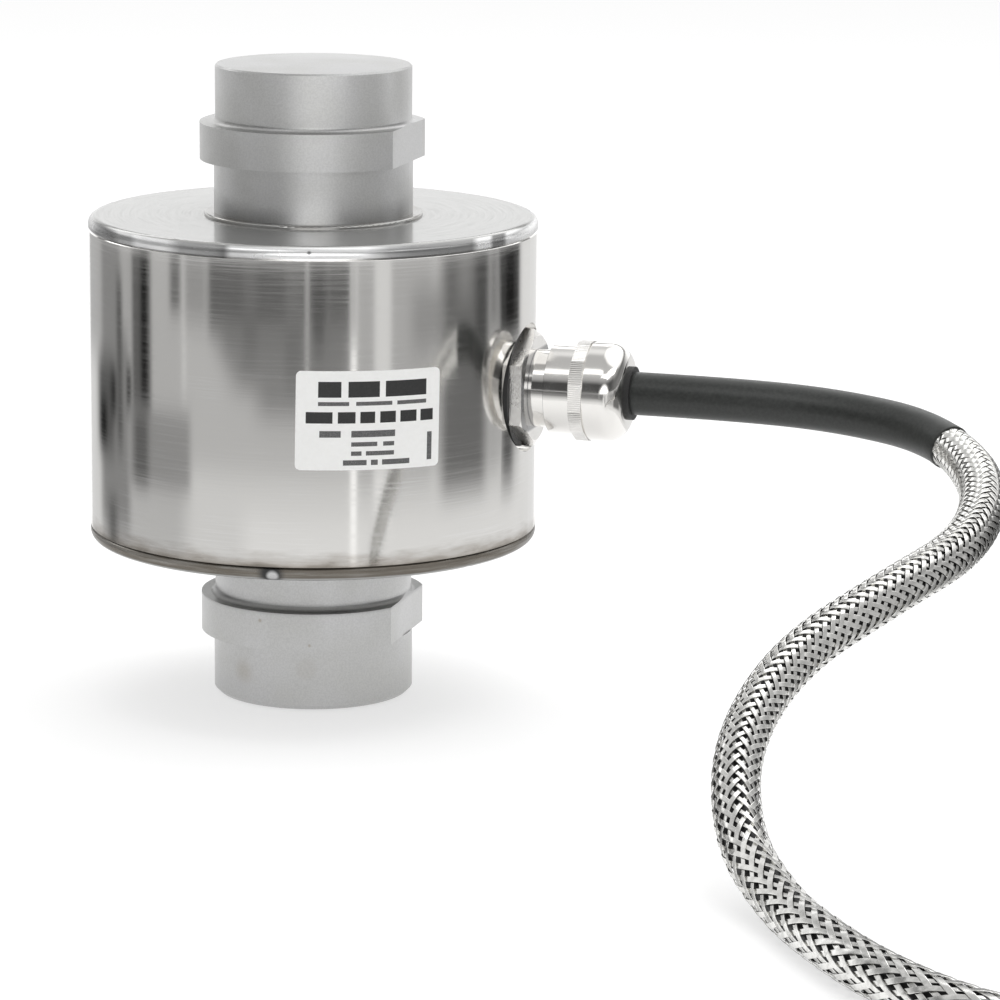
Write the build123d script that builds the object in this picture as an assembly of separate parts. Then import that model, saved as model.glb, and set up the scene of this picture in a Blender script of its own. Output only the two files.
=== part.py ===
"""Stainless column load cell with rocker ends, welded housing, cable gland and braided cable.

Millimetres. The origin is the bottom centre of the foot, +Z runs up the column, and +X runs
out through the cable gland and through the flats on the collars.
"""
import os
from math import atan2, cos, degrees, pi, radians, sin, sqrt, tan

from build123d import *

# Column, turned and milled from one bar
height = 150.0
head_d = 45.8
foot_d = 47.0
neck_d = 46.4
collar_d = 53.0
head_h = 14.0
head_collar_h = 8.65
upper_neck_l = 13.05
foot_h = 15.4
foot_collar_h = 8.9
lower_neck_l = 13.65
collar_root_r = 1.1
rocker_r = 400.0
head_edge = 0.4
foot_edge = 1.0
gauge_width = 32.0
gauge_length = 44.0
gauge_root_r = 6.0
gauge_corner_r = 1.5

# Welded housing
housing_d = 105.0
wall_t = 6.0
plate_t = 3.0
plate_edge_r = 2.0
seam_groove = 0.3
spigot_w = 3.0
spigot_h = 1.5
lip_w = 2.3
lip_h = 0.7
lip_r = 0.5

# Cable gland, along +X at the middle of the housing
seat_d = 30.0
thread_d = 20.0
thread_short = 1.4
boss_d = 30.0
boss_l = 6.0
gasket_d = 27.6
gasket_t = 0.8
hex_af = 24.0
hex_t = 3.5
hex_bevel = 1.0
hex_bevel_angle = 30.0
barrel_d = 18.0
barrel_l = 3.9
clamp_thread_d = 17.0
clamp_thread_l = 8.0
o_ring_d = 1.5
o_ring_in = 1.0
skirt_d = 20.4
skirt_l = 6.2
grip_d = 23.2
grip_af = 22.4
grip_l = 3.1
nose_groove = 0.4
nose_d = 22.8
nose_l = 8.9
nose_r = 5.0
mouth_d = 12.4
seal_l = 8.0
seal_lip = 1.1
cage_l = 7.0
cage_slots = 8
cage_slot_w = 1.2

# Cable
jacket_d = 8.0
sleeve_d = 10.0
cable_d = 10.4
jacket_stub = 2.5
arc_share = 0.45
fit_gap = 0.1

# Electronics inside the housing
gauge_h = 12.0
gauge_w = 9.0
gauge_t = 0.3
terminal_h = 4.0
terminal_w = 6.0
terminal_t = 0.8
terminal_drop = 11.0
board_t = 1.6
board_lift = 9.0
board_bore_gap = 2.8
board_rim_gap = 3.5
standoff_d = 6.0
screw_inset = 5.0
screw_d = 3.0
screw_head_d = 5.6
screw_head_h = 2.2
screw_slot_w = 0.7
screw_slot_depth = 1.0
screw_l = 6.0
resistor_d = 2.2
resistor_l = 6.5
resistor_count = 6
resistor_step = 13.0
block_w = 19.0
block_l = 8.0
block_h = 7.0
block_gap = 1.0
block_slot_w = 2.0
block_slot_depth = 1.5
lead_d = 0.9
lead_bend_r = 1.4
lead_out = 3.0
lead_inset = 3.0
core_d = 1.4
core_bend_r = 1.5
core_count = 6
core_pitch = 2.8
core_ring_r = 3.0
core_bend_in = 2.5
core_bend_step = 1.5

# Coil of put-away cable, and the cable's free end on top of it
turn_r = 63.15
coil_columns = 4
coil_layers = 3
coil_groove = 3.0
entry_l = 47.0
tie_t = 1.0
tie_start = 60.0
tie_angle = 12.0
climb_leave = 0.12
climb_rise = 0.5
climb_cross = 0.42
climb_bulge = 4.2
climb_step = 12.0
tail_start = 150.0
tail_angle = 46.0
end_sleeve_d = 12.4
end_sleeve_angle = 26.0
end_core_d = 1.8
end_core_ring_r = 3.0
end_core_l = 42.0
end_core_pitch = 2.6
end_core_bend_r = 3.0
# The place across the coil that each core's end takes, counted from the inside
end_core_places = (5, 3, 0, 1, 2, 4)

# Places and sizes that follow from the ones above
head_r = head_d / 2
foot_r = foot_d / 2
neck_r = neck_d / 2
collar_r = collar_d / 2
head_z = height - head_h
head_collar_z = head_z - head_collar_h
foot_collar_z = foot_h + foot_collar_h
housing_base_z = foot_collar_z + lower_neck_l
housing_top_z = head_collar_z - upper_neck_l
housing_r = housing_d / 2
inner_r = housing_r - wall_t
gland_z = (housing_base_z + housing_top_z) / 2
half_gauge = gauge_width / 2
seat_x = sqrt(housing_r**2 - (seat_d / 2) ** 2)
hex_x = seat_x + gasket_t
barrel_x = hex_x + hex_t
skirt_x = barrel_x + barrel_l
grip_x = skirt_x + skirt_l
nose_x = grip_x + grip_l
mouth_x = nose_x + nose_l
exit_x = mouth_x + seal_lip
seal_x = exit_x - seal_l
cage_x = seal_x - cage_l
boss_x = inner_r - boss_l
jacket_x = boss_x - jacket_stub
board_r = inner_r - board_rim_gap
board_bore_r = neck_r + board_bore_gap
board_mid_r = (board_r + board_bore_r) / 2
board_z = housing_base_z + plate_t + board_lift
board_top_z = board_z + board_t
block_top_z = board_top_z + block_h
terminal_z = gland_z - terminal_drop
land_x = board_bore_r + lead_inset
block_x = land_x + lead_d / 2 + block_gap + block_l / 2
coil_w = coil_columns * cable_d
coil_h = coil_layers * cable_d
outer_turn_r = turn_r + (coil_w - cable_d) / 2
inner_turn_r = turn_r - (coil_w - cable_d) / 2
top_turn_z = coil_h - cable_d / 2
tail_z = coil_h + end_sleeve_d / 2

# The cable's route from the gland to the coil, chosen by hand
route = [
    (exit_x, 0.0, gland_z),
    (100.0, 0.0, gland_z),
    (125.7, 2.0, 74.6),
    (150.6, -9.1, 72.7),
    (165.8, -31.0, 66.2),
    (166.8, -57.3, 58.4),
    (153.5, -81.3, 52.1),
    (135.7, -96.3, 40.5),
    (128.8, -116.6, 26.1),
    (134.3, -137.3, 12.0),
    (146.8, -155.2, cable_d / 2),
    (158.6, -174.4, cable_d / 2),
    (173.6, -194.2, cable_d / 2),
    (192.5, -211.5, cable_d / 2),
    (215.2, -222.1, cable_d / 2),
]
# The black sleeve ends halfway along the run that starts at this point of the route
sleeve_run = 3


def disc_x(diameter, start, end):
    """A cylinder on the gland's axis between two x values."""
    plane = Plane(origin=(start, 0, gland_z), x_dir=(0, 1, 0), z_dir=(1, 0, 0))
    return extrude(plane * Circle(diameter / 2), end - start)


def tube_x(diameter, bore, start, end):
    """A tube on the gland's axis between two x values."""
    return disc_x(diameter, start, end) - disc_x(bore, start, end)


def hex_x_prism(across_flats, start, end):
    """A hexagonal prism on the gland's axis, with a corner at the top."""
    plane = Plane(origin=(start, 0, gland_z), x_dir=(0, 0, 1), z_dir=(1, 0, 0))
    return extrude(plane * RegularPolygon(across_flats / sqrt(3), 6), end - start)


def turned(points):
    """Revolves a closed outline of (radius, z) points about the column's axis."""
    return revolve(make_face(Plane.XZ * Polyline(*points, close=True)), Axis.Z)


def rims(solid, radius, z):
    """The circular edges of a turned solid with this radius at this height."""
    circles = solid.edges().filter_by(GeomType.CIRCLE)
    return [e for e in circles if abs(e.radius - radius) < 0.01 and abs(e.center().Z - z) < 0.01]


def quarters(solid):
    """Four copies of a solid, a quarter turn apart about the column's axis."""
    return [Rot(0, 0, 90 * quarter) * solid for quarter in range(4)]


def rocker_rise(face_r):
    """How far a rocker end's spherical face stands out of a flat of this radius."""
    return rocker_r - sqrt(rocker_r**2 - face_r**2)


def rocker_cap(face_r, face_z, up):
    """The shallow spherical cap of a rocker end, on a flat at face_z; up is 1 or -1."""
    tip = (0, face_z + up * rocker_rise(face_r))
    with BuildSketch(Plane.XZ) as section:
        with BuildLine():
            Line((0, face_z), (face_r, face_z))
            RadiusArc((face_r, face_z), tip, -up * rocker_r)
            Line(tip, (0, face_z))
        make_face()
    return revolve(section.sketch, Axis.Z)


def gauge_cutter():
    """The milling cut that leaves the flat of the square gauged section on the +X side."""
    block = Pos(half_gauge + neck_r / 2, 0, gland_z) * Box(neck_r, neck_d, gauge_length)
    roots = [e for e in block.edges().filter_by(Axis.Y) if abs(e.center().X - half_gauge) < 0.01]
    return fillet(roots, gauge_root_r)


def flat_cutter(low, high):
    """The milling cut of one collar's flat, down to the neck and up through its root."""
    cut_z = (low + high + collar_root_r) / 2
    return Pos(neck_r + collar_r / 2, 0, cut_z) * Box(collar_r, collar_d, high - low + collar_root_r)


def column():
    """Head, collars, necks and gauged section with its rocker ends."""
    foot_face_r = foot_r - foot_edge
    head_face_r = head_r - head_edge
    foot_face_z = rocker_rise(foot_face_r)
    head_face_z = height - rocker_rise(head_face_r)
    bar = turned(
        [
            (0, foot_face_z),
            (foot_face_r, foot_face_z),
            (foot_r, foot_face_z + foot_edge),
            (foot_r, foot_h),
            (collar_r, foot_h),
            (collar_r, foot_collar_z),
            (neck_r, foot_collar_z),
            (neck_r, head_collar_z),
            (collar_r, head_collar_z),
            (collar_r, head_z),
            (head_r, head_z),
            (head_r, head_face_z - head_edge),
            (head_face_r, head_face_z),
            (0, head_face_z),
        ]
    )
    root_r = min(collar_root_r, 0.9 * (collar_r - max(neck_r, head_r)))
    bar = fillet(rims(bar, neck_r, foot_collar_z) + rims(bar, head_r, head_z), root_r)
    bar += rocker_cap(foot_face_r, foot_face_z, -1)
    bar += rocker_cap(head_face_r, head_face_z, 1)
    bar -= flat_cutter(foot_h, foot_collar_z)
    bar -= flat_cutter(head_collar_z, head_z)
    for cut in quarters(gauge_cutter()):
        bar -= cut
    corner_x = half_gauge * sqrt(2)
    corners = [
        e
        for e in bar.edges().filter_by(Axis.Z)
        if abs(Vector(e.center().X, e.center().Y).length - corner_x) < 0.01
    ]
    return fillet(corners, gauge_corner_r)


def housing_tube():
    """The housing's wall, with the gland's spot face and threaded hole."""
    low = housing_base_z + plate_t
    high = housing_top_z - plate_t
    tube = turned([(inner_r, low), (housing_r, low), (housing_r, high), (inner_r, high)])
    tube = chamfer(rims(tube, housing_r, low) + rims(tube, housing_r, high), seam_groove)
    tube -= disc_x(seat_d, seat_x, seat_x + housing_r)
    return tube - disc_x(thread_d, 0, housing_r)


def end_plate(up):
    """An end of the housing, with its spigot and weld lip; up is 1 for the top one, else -1."""
    outer = housing_top_z if up > 0 else housing_base_z
    inner = outer - up * plate_t
    spigot_r = inner_r - fit_gap
    lip_z = outer + up * lip_h
    plate = turned(
        [
            (neck_r, inner),
            (spigot_r - spigot_w, inner),
            (spigot_r - spigot_w, inner - up * spigot_h),
            (spigot_r, inner - up * spigot_h),
            (spigot_r, inner),
            (housing_r, inner),
            (housing_r, outer),
            (neck_r + lip_w, outer),
            (neck_r + lip_w, lip_z),
            (neck_r, lip_z),
        ]
    )
    plate = chamfer(rims(plate, housing_r, inner), seam_groove)
    plate = fillet(rims(plate, housing_r, outer), min(plate_edge_r, plate_t - 2 * seam_groove))
    return fillet(rims(plate, neck_r + lip_w, lip_z), min(lip_r, 0.9 * lip_h))


def gland_boss():
    """The threaded ring welded inside the wall, its outer end shaped to the wall's curve."""
    ring = disc_x(boss_d, boss_x, housing_r)
    ring &= Pos(0, 0, gland_z) * Cylinder(inner_r, 2 * boss_d)
    return ring - disc_x(thread_d, 0, housing_r)


def gland_gasket():
    """The flat black gasket between the spot face and the gland's hexagon."""
    return tube_x(gasket_d, thread_d, seat_x, hex_x)


def gland_adapter():
    """Mounting thread, hexagon, barrel and the clamping thread that the nut covers."""
    tip_x = boss_x + thread_short
    end_x = skirt_x + clamp_thread_l
    corner_r = hex_af / sqrt(3)
    drop = hex_bevel / tan(radians(hex_bevel_angle))
    bevel_plane = Plane(origin=(barrel_x, 0, gland_z), x_dir=(0, 1, 0), z_dir=(-1, 0, 0))
    bevel = extrude(bevel_plane * Circle(corner_r - drop), hex_t, taper=hex_bevel_angle - 90)
    body = disc_x(thread_d, tip_x, hex_x)
    body += hex_x_prism(hex_af, hex_x, barrel_x) & bevel
    body += disc_x(barrel_d, barrel_x, skirt_x)
    body += disc_x(clamp_thread_d, skirt_x, end_x)
    groove_x = skirt_x + o_ring_in
    body -= tube_x(clamp_thread_d, clamp_thread_d - 2 * o_ring_d, groove_x, groove_x + o_ring_d)
    return body - disc_x(mouth_d + 2 * fit_gap, tip_x, end_x)


def gland_o_ring():
    """The ring in the clamping thread's run-out that seals the nut's skirt."""
    middle_x = skirt_x + o_ring_in + o_ring_d / 2
    plane = Plane(origin=(middle_x, 0, gland_z), x_dir=(0, 1, 0), z_dir=(1, 0, 0))
    return plane * Torus((clamp_thread_d - o_ring_d) / 2, o_ring_d / 2)


def gland_nut():
    """Skirt, faceted grip and domed nose, bored for the clamping thread and the seal."""
    nut = disc_x(skirt_d, skirt_x, grip_x)
    nut += hex_x_prism(grip_af, grip_x, nose_x) & disc_x(grip_d, grip_x, nose_x)
    nut += disc_x(nose_d - 2 * nose_groove, nose_x, nose_x + nose_groove)
    nose = disc_x(nose_d, nose_x + nose_groove, mouth_x)
    rim = [e for e in nose.edges().filter_by(GeomType.CIRCLE) if abs(e.center().X - mouth_x) < 0.01]
    nut += fillet(rim, min(nose_r, 0.9 * (nose_d - mouth_d) / 2, 0.9 * (nose_l - nose_groove)))
    nut -= disc_x(clamp_thread_d, skirt_x, skirt_x + clamp_thread_l)
    return nut - disc_x(mouth_d, skirt_x, mouth_x)


def gland_seal():
    """The rubber ring clamped round the cable, its lip just out of the nut's mouth."""
    return tube_x(mouth_d, sleeve_d, seal_x, exit_x)


def gland_cage():
    """The slotted plastic cage that the nut squeezes behind the seal."""
    bore = sleeve_d + 2 * fit_gap
    cage = tube_x(mouth_d, bore, cage_x, seal_x)
    slot = Pos(seal_x, 0, gland_z + mouth_d / 2) * Box(cage_l, cage_slot_w, mouth_d / 2)
    axis = Axis((0, 0, gland_z), (1, 0, 0))
    for index in range(cage_slots):
        cage -= slot.rotate(axis, 360 / cage_slots * index)
    return cage


def strain_gauges():
    """A foil rosette on each face of the gauged section."""
    return quarters(Pos(half_gauge + gauge_t / 2, 0, gland_z) * Box(gauge_t, gauge_w, gauge_h))


def gauge_terminals():
    """A strip of solder terminals below each rosette."""
    strip = Box(terminal_t, terminal_w, terminal_h)
    return quarters(Pos(half_gauge + terminal_t / 2, 0, terminal_z) * strip)


def wire(points, diameter, bend_r):
    """A round wire along straight runs joined by arcs of one radius."""
    path = FilletPolyline(*points, radius=bend_r)
    return sweep(Plane(origin=path @ 0, z_dir=path % 0) * Circle(diameter / 2), path)


def gauge_leads():
    """A lead from each terminal strip down to the board."""
    strip_x = half_gauge + terminal_t
    points = [
        (strip_x, 0, terminal_z),
        (strip_x + lead_out, 0, terminal_z),
        (land_x, 0, (terminal_z + board_top_z) / 2),
        (land_x, 0, board_top_z),
    ]
    return quarters(wire(points, lead_d, lead_bend_r))


def at_screws(solid):
    """A copy of a solid, made about the Z axis, at each of the board's screws."""
    return [
        Rot(0, 0, 45 + 90 * quarter) * Pos(board_r - screw_inset, 0, 0) * solid for quarter in range(4)
    ]


def bridge_board():
    """The ring board round the column that completes the bridge."""
    board = Pos(0, 0, board_z) * extrude(Circle(board_r) - Circle(board_bore_r), board_t)
    for hole in at_screws(Pos(0, 0, board_z + board_t / 2) * Cylinder(screw_d / 2, board_t)):
        board -= hole
    return board


def board_standoffs():
    """Posts from the bottom plate up to the board."""
    floor_z = housing_base_z + plate_t
    hole_z = board_top_z - screw_l
    post = Pos(0, 0, floor_z) * extrude(Circle(standoff_d / 2), board_z - floor_z)
    post -= Pos(0, 0, hole_z) * extrude(Circle(screw_d / 2), board_z - hole_z)
    return at_screws(post)


def board_screws():
    """Slotted screws that hold the board on its posts."""
    head = Pos(0, 0, board_top_z) * extrude(Circle(screw_head_d / 2), screw_head_h)
    head = fillet(head.edges().group_by(Axis.Z)[-1], screw_head_h / 3)
    shank = Pos(0, 0, board_top_z - screw_l) * extrude(Circle(screw_d / 2), screw_l)
    slot = Pos(0, 0, board_top_z + screw_head_h) * Box(screw_head_d, screw_slot_w, 2 * screw_slot_depth)
    return at_screws(head + shank - slot)


def trim_resistors():
    """Trimming resistors in an arc on the board, opposite the gland."""
    lying = Pos(board_mid_r, 0, board_top_z + resistor_d / 2) * Rot(90, 0, 0)
    resistor = lying * Cylinder(resistor_d / 2, resistor_l)
    first = 180 - resistor_step * (resistor_count - 1) / 2
    return [Rot(0, 0, first + resistor_step * index) * resistor for index in range(resistor_count)]


def across(count, pitch, index):
    """The sideways place of one of a row of like things, centred on zero."""
    return pitch * (index - (count - 1) / 2)


def terminal_block():
    """The block on the board, below the gland, that takes the cable's cores."""
    block = Pos(block_x, 0, block_top_z - block_h / 2) * Box(block_l, block_w, block_h)
    for index in range(core_count):
        y = across(core_count, core_pitch, index)
        slot = Box(block_l / 2, block_slot_w, 2 * block_slot_depth)
        block -= Pos(block_x + block_l / 4, y, block_top_z) * slot
    return block


def core_wires():
    """The cable's cores from the jacket's cut end down to the terminal block."""
    entry_x = block_x - block_l / 4
    cores = []
    for index in range(core_count):
        angle = pi * (1 - index / (core_count - 1))
        y = core_ring_r * cos(angle)
        z = gland_z + core_ring_r * sin(angle)
        from_edge = min(index, core_count - 1 - index)
        bend_x = jacket_x - core_bend_in - core_bend_step * from_edge
        row_y = across(core_count, core_pitch, index)
        points = [
            (jacket_x, y, z),
            (bend_x, y, z),
            (entry_x, row_y, (gland_z + block_top_z) / 2),
            (entry_x, row_y, block_top_z),
        ]
        cores.append(wire(points, core_d, core_bend_r))
    return cores


def bend_radii(points):
    """Each bend's radius: a share of the shorter run beside it, over the tangent of half its turn."""
    radii = []
    for before, here, after in zip(points, points[1:], points[2:]):
        run_in = Vector(*here) - Vector(*before)
        run_out = Vector(*after) - Vector(*here)
        turn = radians(run_in.get_angle(run_out))
        radii.append(arc_share * min(run_in.length, run_out.length) / tan(turn / 2))
    return radii


def cable_tube(points, radii, diameter, bore=0.0):
    """A round tube along straight runs joined by tangent arcs, hollow where it has a bore."""
    path = FilletPolyline(*points, radius=radii)
    section = Circle(diameter / 2)
    if bore:
        section -= Circle(bore / 2)
    tube = sweep(Plane(origin=path @ 0, z_dir=path % 0) * section, path)
    by_length = pi * (diameter**2 - bore**2) / 4 * path.length
    print(f"length {path.length:.1f} volume {tube.volume:.0f} section by length {by_length:.0f}")
    return tube


def sleeve_stretch(start_x):
    """The route's points from an x value on the gland's axis to the end of the sleeve."""
    middle = (Vector(*route[sleeve_run]) + Vector(*route[sleeve_run + 1])) / 2
    return [(start_x, 0, gland_z)] + route[1 : sleeve_run + 1] + [tuple(middle)]


def cable_sleeve():
    """The black sleeve over the cable, from the gland's cage to the start of the bare braid."""
    return cable_tube(sleeve_stretch(cage_x), bend_radii(route)[:sleeve_run], sleeve_d, jacket_d)


def cable_jacket():
    """The inner jacket, from its cut end in the housing to the end of the sleeve."""
    return cable_tube(sleeve_stretch(jacket_x), bend_radii(route)[:sleeve_run], jacket_d)


def cable():
    """The braided cable from the sleeve's end to the straight entry of the coil."""
    points = [sleeve_stretch(jacket_x)[-1]] + route[sleeve_run + 1 :]
    return cable_tube(points, bend_radii(route)[sleeve_run:], cable_d)


def coil_entry():
    """Where the cable enters the coil's outer turn and its level heading there, as a plane."""
    heading = Vector(*route[-1]) - Vector(*route[-2])
    return Plane(origin=route[-1], x_dir=(0, 0, 1), z_dir=heading.normalized())


def on_coil(solid, angle=0.0):
    """Moves a solid made about the Z axis to the coil, turned by an angle."""
    entry = coil_entry()
    touch = entry.origin + entry.z_dir * entry_l
    centre = touch + Vector(0, 0, 1).cross(entry.z_dir) * outer_turn_r
    return Pos(centre.X, centre.Y, 0) * Rot(0, 0, angle) * solid


def tie_section(low, high, width, edge_r):
    """Half section of the outside or the inside of the coil's tie, in the XZ plane."""
    return Plane.XZ * Pos(turn_r, (low + high) / 2) * RectangleRounded(width, high - low, edge_r)


def coil_tie():
    """The strap that holds the coil's turns together."""
    outer = tie_section(0, coil_h + tie_t, coil_w + 2 * tie_t, cable_d / 2)
    inner = tie_section(tie_t, coil_h, coil_w, cable_d / 2 - tie_t)
    return on_coil(revolve(outer - inner, Axis.Z, tie_angle), tie_start)


def cable_coil():
    """The wound cable, solid between its turns, with the straight entry of its first turn."""
    section = Pos(turn_r, coil_h / 2) * Rectangle(coil_w - 2 * coil_groove, coil_h - 2 * coil_groove)
    for column_index in range(coil_columns):
        for layer in range(coil_layers):
            turn_x = turn_r + across(coil_columns, cable_d, column_index)
            section += Pos(turn_x, (layer + 0.5) * cable_d) * Circle(cable_d / 2)
    ring = on_coil(revolve(Plane.XZ * section, Axis.Z))
    ring += extrude(coil_entry() * Circle(cable_d / 2 - fit_gap), entry_l)
    return ring - coil_tie()


def ease(share):
    """A smooth step from 0 to 1."""
    share = min(max(share, 0.0), 1.0)
    return share**2 * (3 - 2 * share)


def tail_point(share, climb_angle):
    """A point of the cable's end, from the coil's inner top turn to the middle of its top at share 1."""
    angle = radians(share * climb_angle)
    rise = min(share / climb_rise, 1.0)
    radius = inner_turn_r - climb_bulge * sin(pi * rise)
    radius += (turn_r - inner_turn_r) * ease((share - climb_cross) / (1 - climb_cross))
    z = top_turn_z + (tail_z - top_turn_z) * ease(rise)
    return (radius * cos(angle), radius * sin(angle), z)


def cable_tail():
    """The last of the cable: out of the coil's inner top turn, up on to its top and along it."""
    heading = coil_entry().z_dir
    meets_coil = degrees(atan2(-heading.X, heading.Y)) % 360
    climb_angle = tail_start + 360 - meets_coil
    last = 1 + tail_angle / climb_angle
    steps = round((last - climb_leave) * climb_angle / climb_step)
    shares = [climb_leave + (last - climb_leave) * index / steps for index in range(steps + 1)]
    path = Spline(*[tail_point(share, climb_angle) for share in shares])
    tube = sweep(Plane(origin=path @ 0, z_dir=path % 0) * Circle(cable_d / 2), path)
    envelope = Plane.XZ * Pos(turn_r, coil_h / 2) * Rectangle(coil_w, coil_h)
    return on_coil(tube - revolve(envelope, Axis.Z), meets_coil) - end_sleeve()


def end_sleeve():
    """The sleeve that binds the braid's cut end."""
    section = Plane.XZ * Pos(turn_r, tail_z) * Circle(end_sleeve_d / 2)
    return on_coil(revolve(section, Axis.Z, end_sleeve_angle), tail_start + tail_angle)


def end_cores():
    """The stripped cores that fan out of the end sleeve and lie down on the coil."""
    start = tail_start + tail_angle + end_sleeve_angle
    cores = []
    for index, place in enumerate(end_core_places):
        angle = 2 * pi * (index + 0.5) / core_count
        x = turn_r + end_core_ring_r * cos(angle)
        z = tail_z + end_core_ring_r * sin(angle)
        fan_x = turn_r + across(core_count, end_core_pitch, place)
        rest_z = coil_h + end_core_d / 2
        points = [
            (x, 0, z),
            (x, 0.2 * end_core_l, z),
            (fan_x, 0.6 * end_core_l, rest_z + end_core_d / 4),
            (fan_x, end_core_l, rest_z),
        ]
        cores.append(on_coil(wire(points, end_core_d, end_core_bend_r), start))
    return cores


def top_plate():
    """The upper end of the housing."""
    return end_plate(1)


def bottom_plate():
    """The lower end of the housing."""
    return end_plate(-1)


nodes = (
    column,
    housing_tube,
    top_plate,
    bottom_plate,
    gland_boss,
    gland_gasket,
    gland_adapter,
    gland_o_ring,
    gland_nut,
    gland_cage,
    gland_seal,
    strain_gauges,
    gauge_terminals,
    gauge_leads,
    bridge_board,
    board_standoffs,
    board_screws,
    trim_resistors,
    terminal_block,
    core_wires,
    cable_sleeve,
    cable_jacket,
    cable,
    cable_coil,
    coil_tie,
    cable_tail,
    end_sleeve,
    end_cores,
)

os.makedirs("parts", exist_ok=True)
print("bend radii", [round(radius, 1) for radius in bend_radii(route)])
for node in nodes:
    made = node()
    shape = Compound(children=made) if isinstance(made, list) else made
    export_step(shape, f"parts/{node.__name__}.step")
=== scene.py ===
"""Dresses the column load cell: finishes, gland detail, braided cable, coil, label and studio."""
from math import atan2, cos, degrees, pi, radians, sin, sqrt

import bpy
import numpy as np
from mathutils import Matrix, Vector


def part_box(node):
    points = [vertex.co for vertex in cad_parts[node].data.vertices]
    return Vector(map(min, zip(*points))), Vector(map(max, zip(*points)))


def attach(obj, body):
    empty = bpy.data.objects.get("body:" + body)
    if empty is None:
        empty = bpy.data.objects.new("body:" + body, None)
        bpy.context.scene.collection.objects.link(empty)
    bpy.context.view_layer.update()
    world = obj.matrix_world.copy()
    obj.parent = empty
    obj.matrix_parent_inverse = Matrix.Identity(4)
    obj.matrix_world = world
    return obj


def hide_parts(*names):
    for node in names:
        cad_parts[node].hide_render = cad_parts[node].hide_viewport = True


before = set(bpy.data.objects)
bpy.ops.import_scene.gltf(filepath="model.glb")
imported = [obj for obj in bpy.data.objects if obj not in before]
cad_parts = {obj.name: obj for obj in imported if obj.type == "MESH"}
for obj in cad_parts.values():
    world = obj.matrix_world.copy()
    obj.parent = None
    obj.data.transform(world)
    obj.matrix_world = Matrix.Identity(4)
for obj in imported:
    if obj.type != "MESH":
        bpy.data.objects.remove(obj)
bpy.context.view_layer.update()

MM = 0.001
BODY = "root"
X, Y, Z = range(3)


def ends(node, axis):
    """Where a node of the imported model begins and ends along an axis, in millimetres."""
    return [round(corner[axis] / MM, 2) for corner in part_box(node)]


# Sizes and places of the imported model, in millimetres
HOUSING_R = max(ends("housing_tube", X))
WALL_BASE = min(ends("housing_tube", Z))
COLLAR_R = max(ends("column", Y))
FOOT_R = 23.5
NECK_R = 23.2
GLAND_Z = sum(ends("gland_nut", Z)) / 2
HEX_BASE = max(ends("gland_gasket", X))
HEX_X = (HEX_BASE, HEX_BASE + 3.5)
SKIRT_X = min(ends("gland_nut", X))
GRIP_X = (SKIRT_X + 6.2, SKIRT_X + 9.3)
CAGE_X = min(ends("gland_cage", X))
EXIT_X = max(ends("gland_seal", X))
JACKET_X = min(ends("cable_jacket", X))
JACKET_D = 8.0
SLEEVE_D = 10.0
CABLE_D = 10.4


def mm(*values):
    """A point given in millimetres, in metres."""
    return Vector(value * MM for value in values)


def polar(radius, angle, z):
    """A point about the column's axis, in millimetres, at an angle in degrees from +X."""
    return (radius * cos(radians(angle)), radius * sin(radians(angle)), z)


def smooth(low, high, value):
    """A smooth step from 0 at low to 1 at high."""
    share = np.clip((value - low) / (high - low), 0.0, 1.0)
    return share * share * (3 - 2 * share)


def dot(first, second):
    """The dot products of two arrays of vectors."""
    return np.sum(first * second, -1, keepdims=True)


def unit(vectors):
    """The same directions at length one."""
    return vectors / np.linalg.norm(vectors, axis=-1, keepdims=True)


def link_object(data, material=None):
    """A scene object with this data, its name and a material if one is given."""
    made = bpy.data.objects.new(data.name, data)
    bpy.context.scene.collection.objects.link(made)
    if material:
        data.materials.append(material)
    return made


# Camera

FOCAL_PX = 4490.13
SENSOR_MM = 36.0
PICTURE_PX = 1000
CAMERA_AT = (321.57, -989.68, 264.47)
CAMERA_TURN = 15.57
CAMERA_TILT = 78.15
CAMERA_ROLL = 0.521
NEAREST_M = 0.05
FARTHEST_M = 20.0
# The direction from the column towards the camera, as an angle from +X
FRONT = degrees(atan2(CAMERA_AT[1], CAMERA_AT[0]))


def make_camera():
    """The camera at the photograph's viewing angle."""
    data = bpy.data.cameras.new("camera")
    data.sensor_width = SENSOR_MM
    data.lens = FOCAL_PX * SENSOR_MM / PICTURE_PX
    data.clip_start = NEAREST_M
    data.clip_end = FARTHEST_M
    camera = link_object(data)
    turn = Matrix.Rotation(radians(CAMERA_TURN), 4, "Z")
    tilt = Matrix.Rotation(radians(CAMERA_TILT), 4, "X")
    roll = Matrix.Rotation(radians(CAMERA_ROLL), 4, "Z")
    camera.matrix_world = Matrix.Translation(mm(*CAMERA_AT)) @ turn @ tilt @ roll
    bpy.context.scene.camera = camera


# Node graphs

# Most values of a noise lie between these
NOISE_RANGE = (0.3, 0.7)
# The Mix node's sockets for colours, by number, because other kinds of value share their names
MIX_COLORS = (6, 7)
MIX_RESULT = 2


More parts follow.
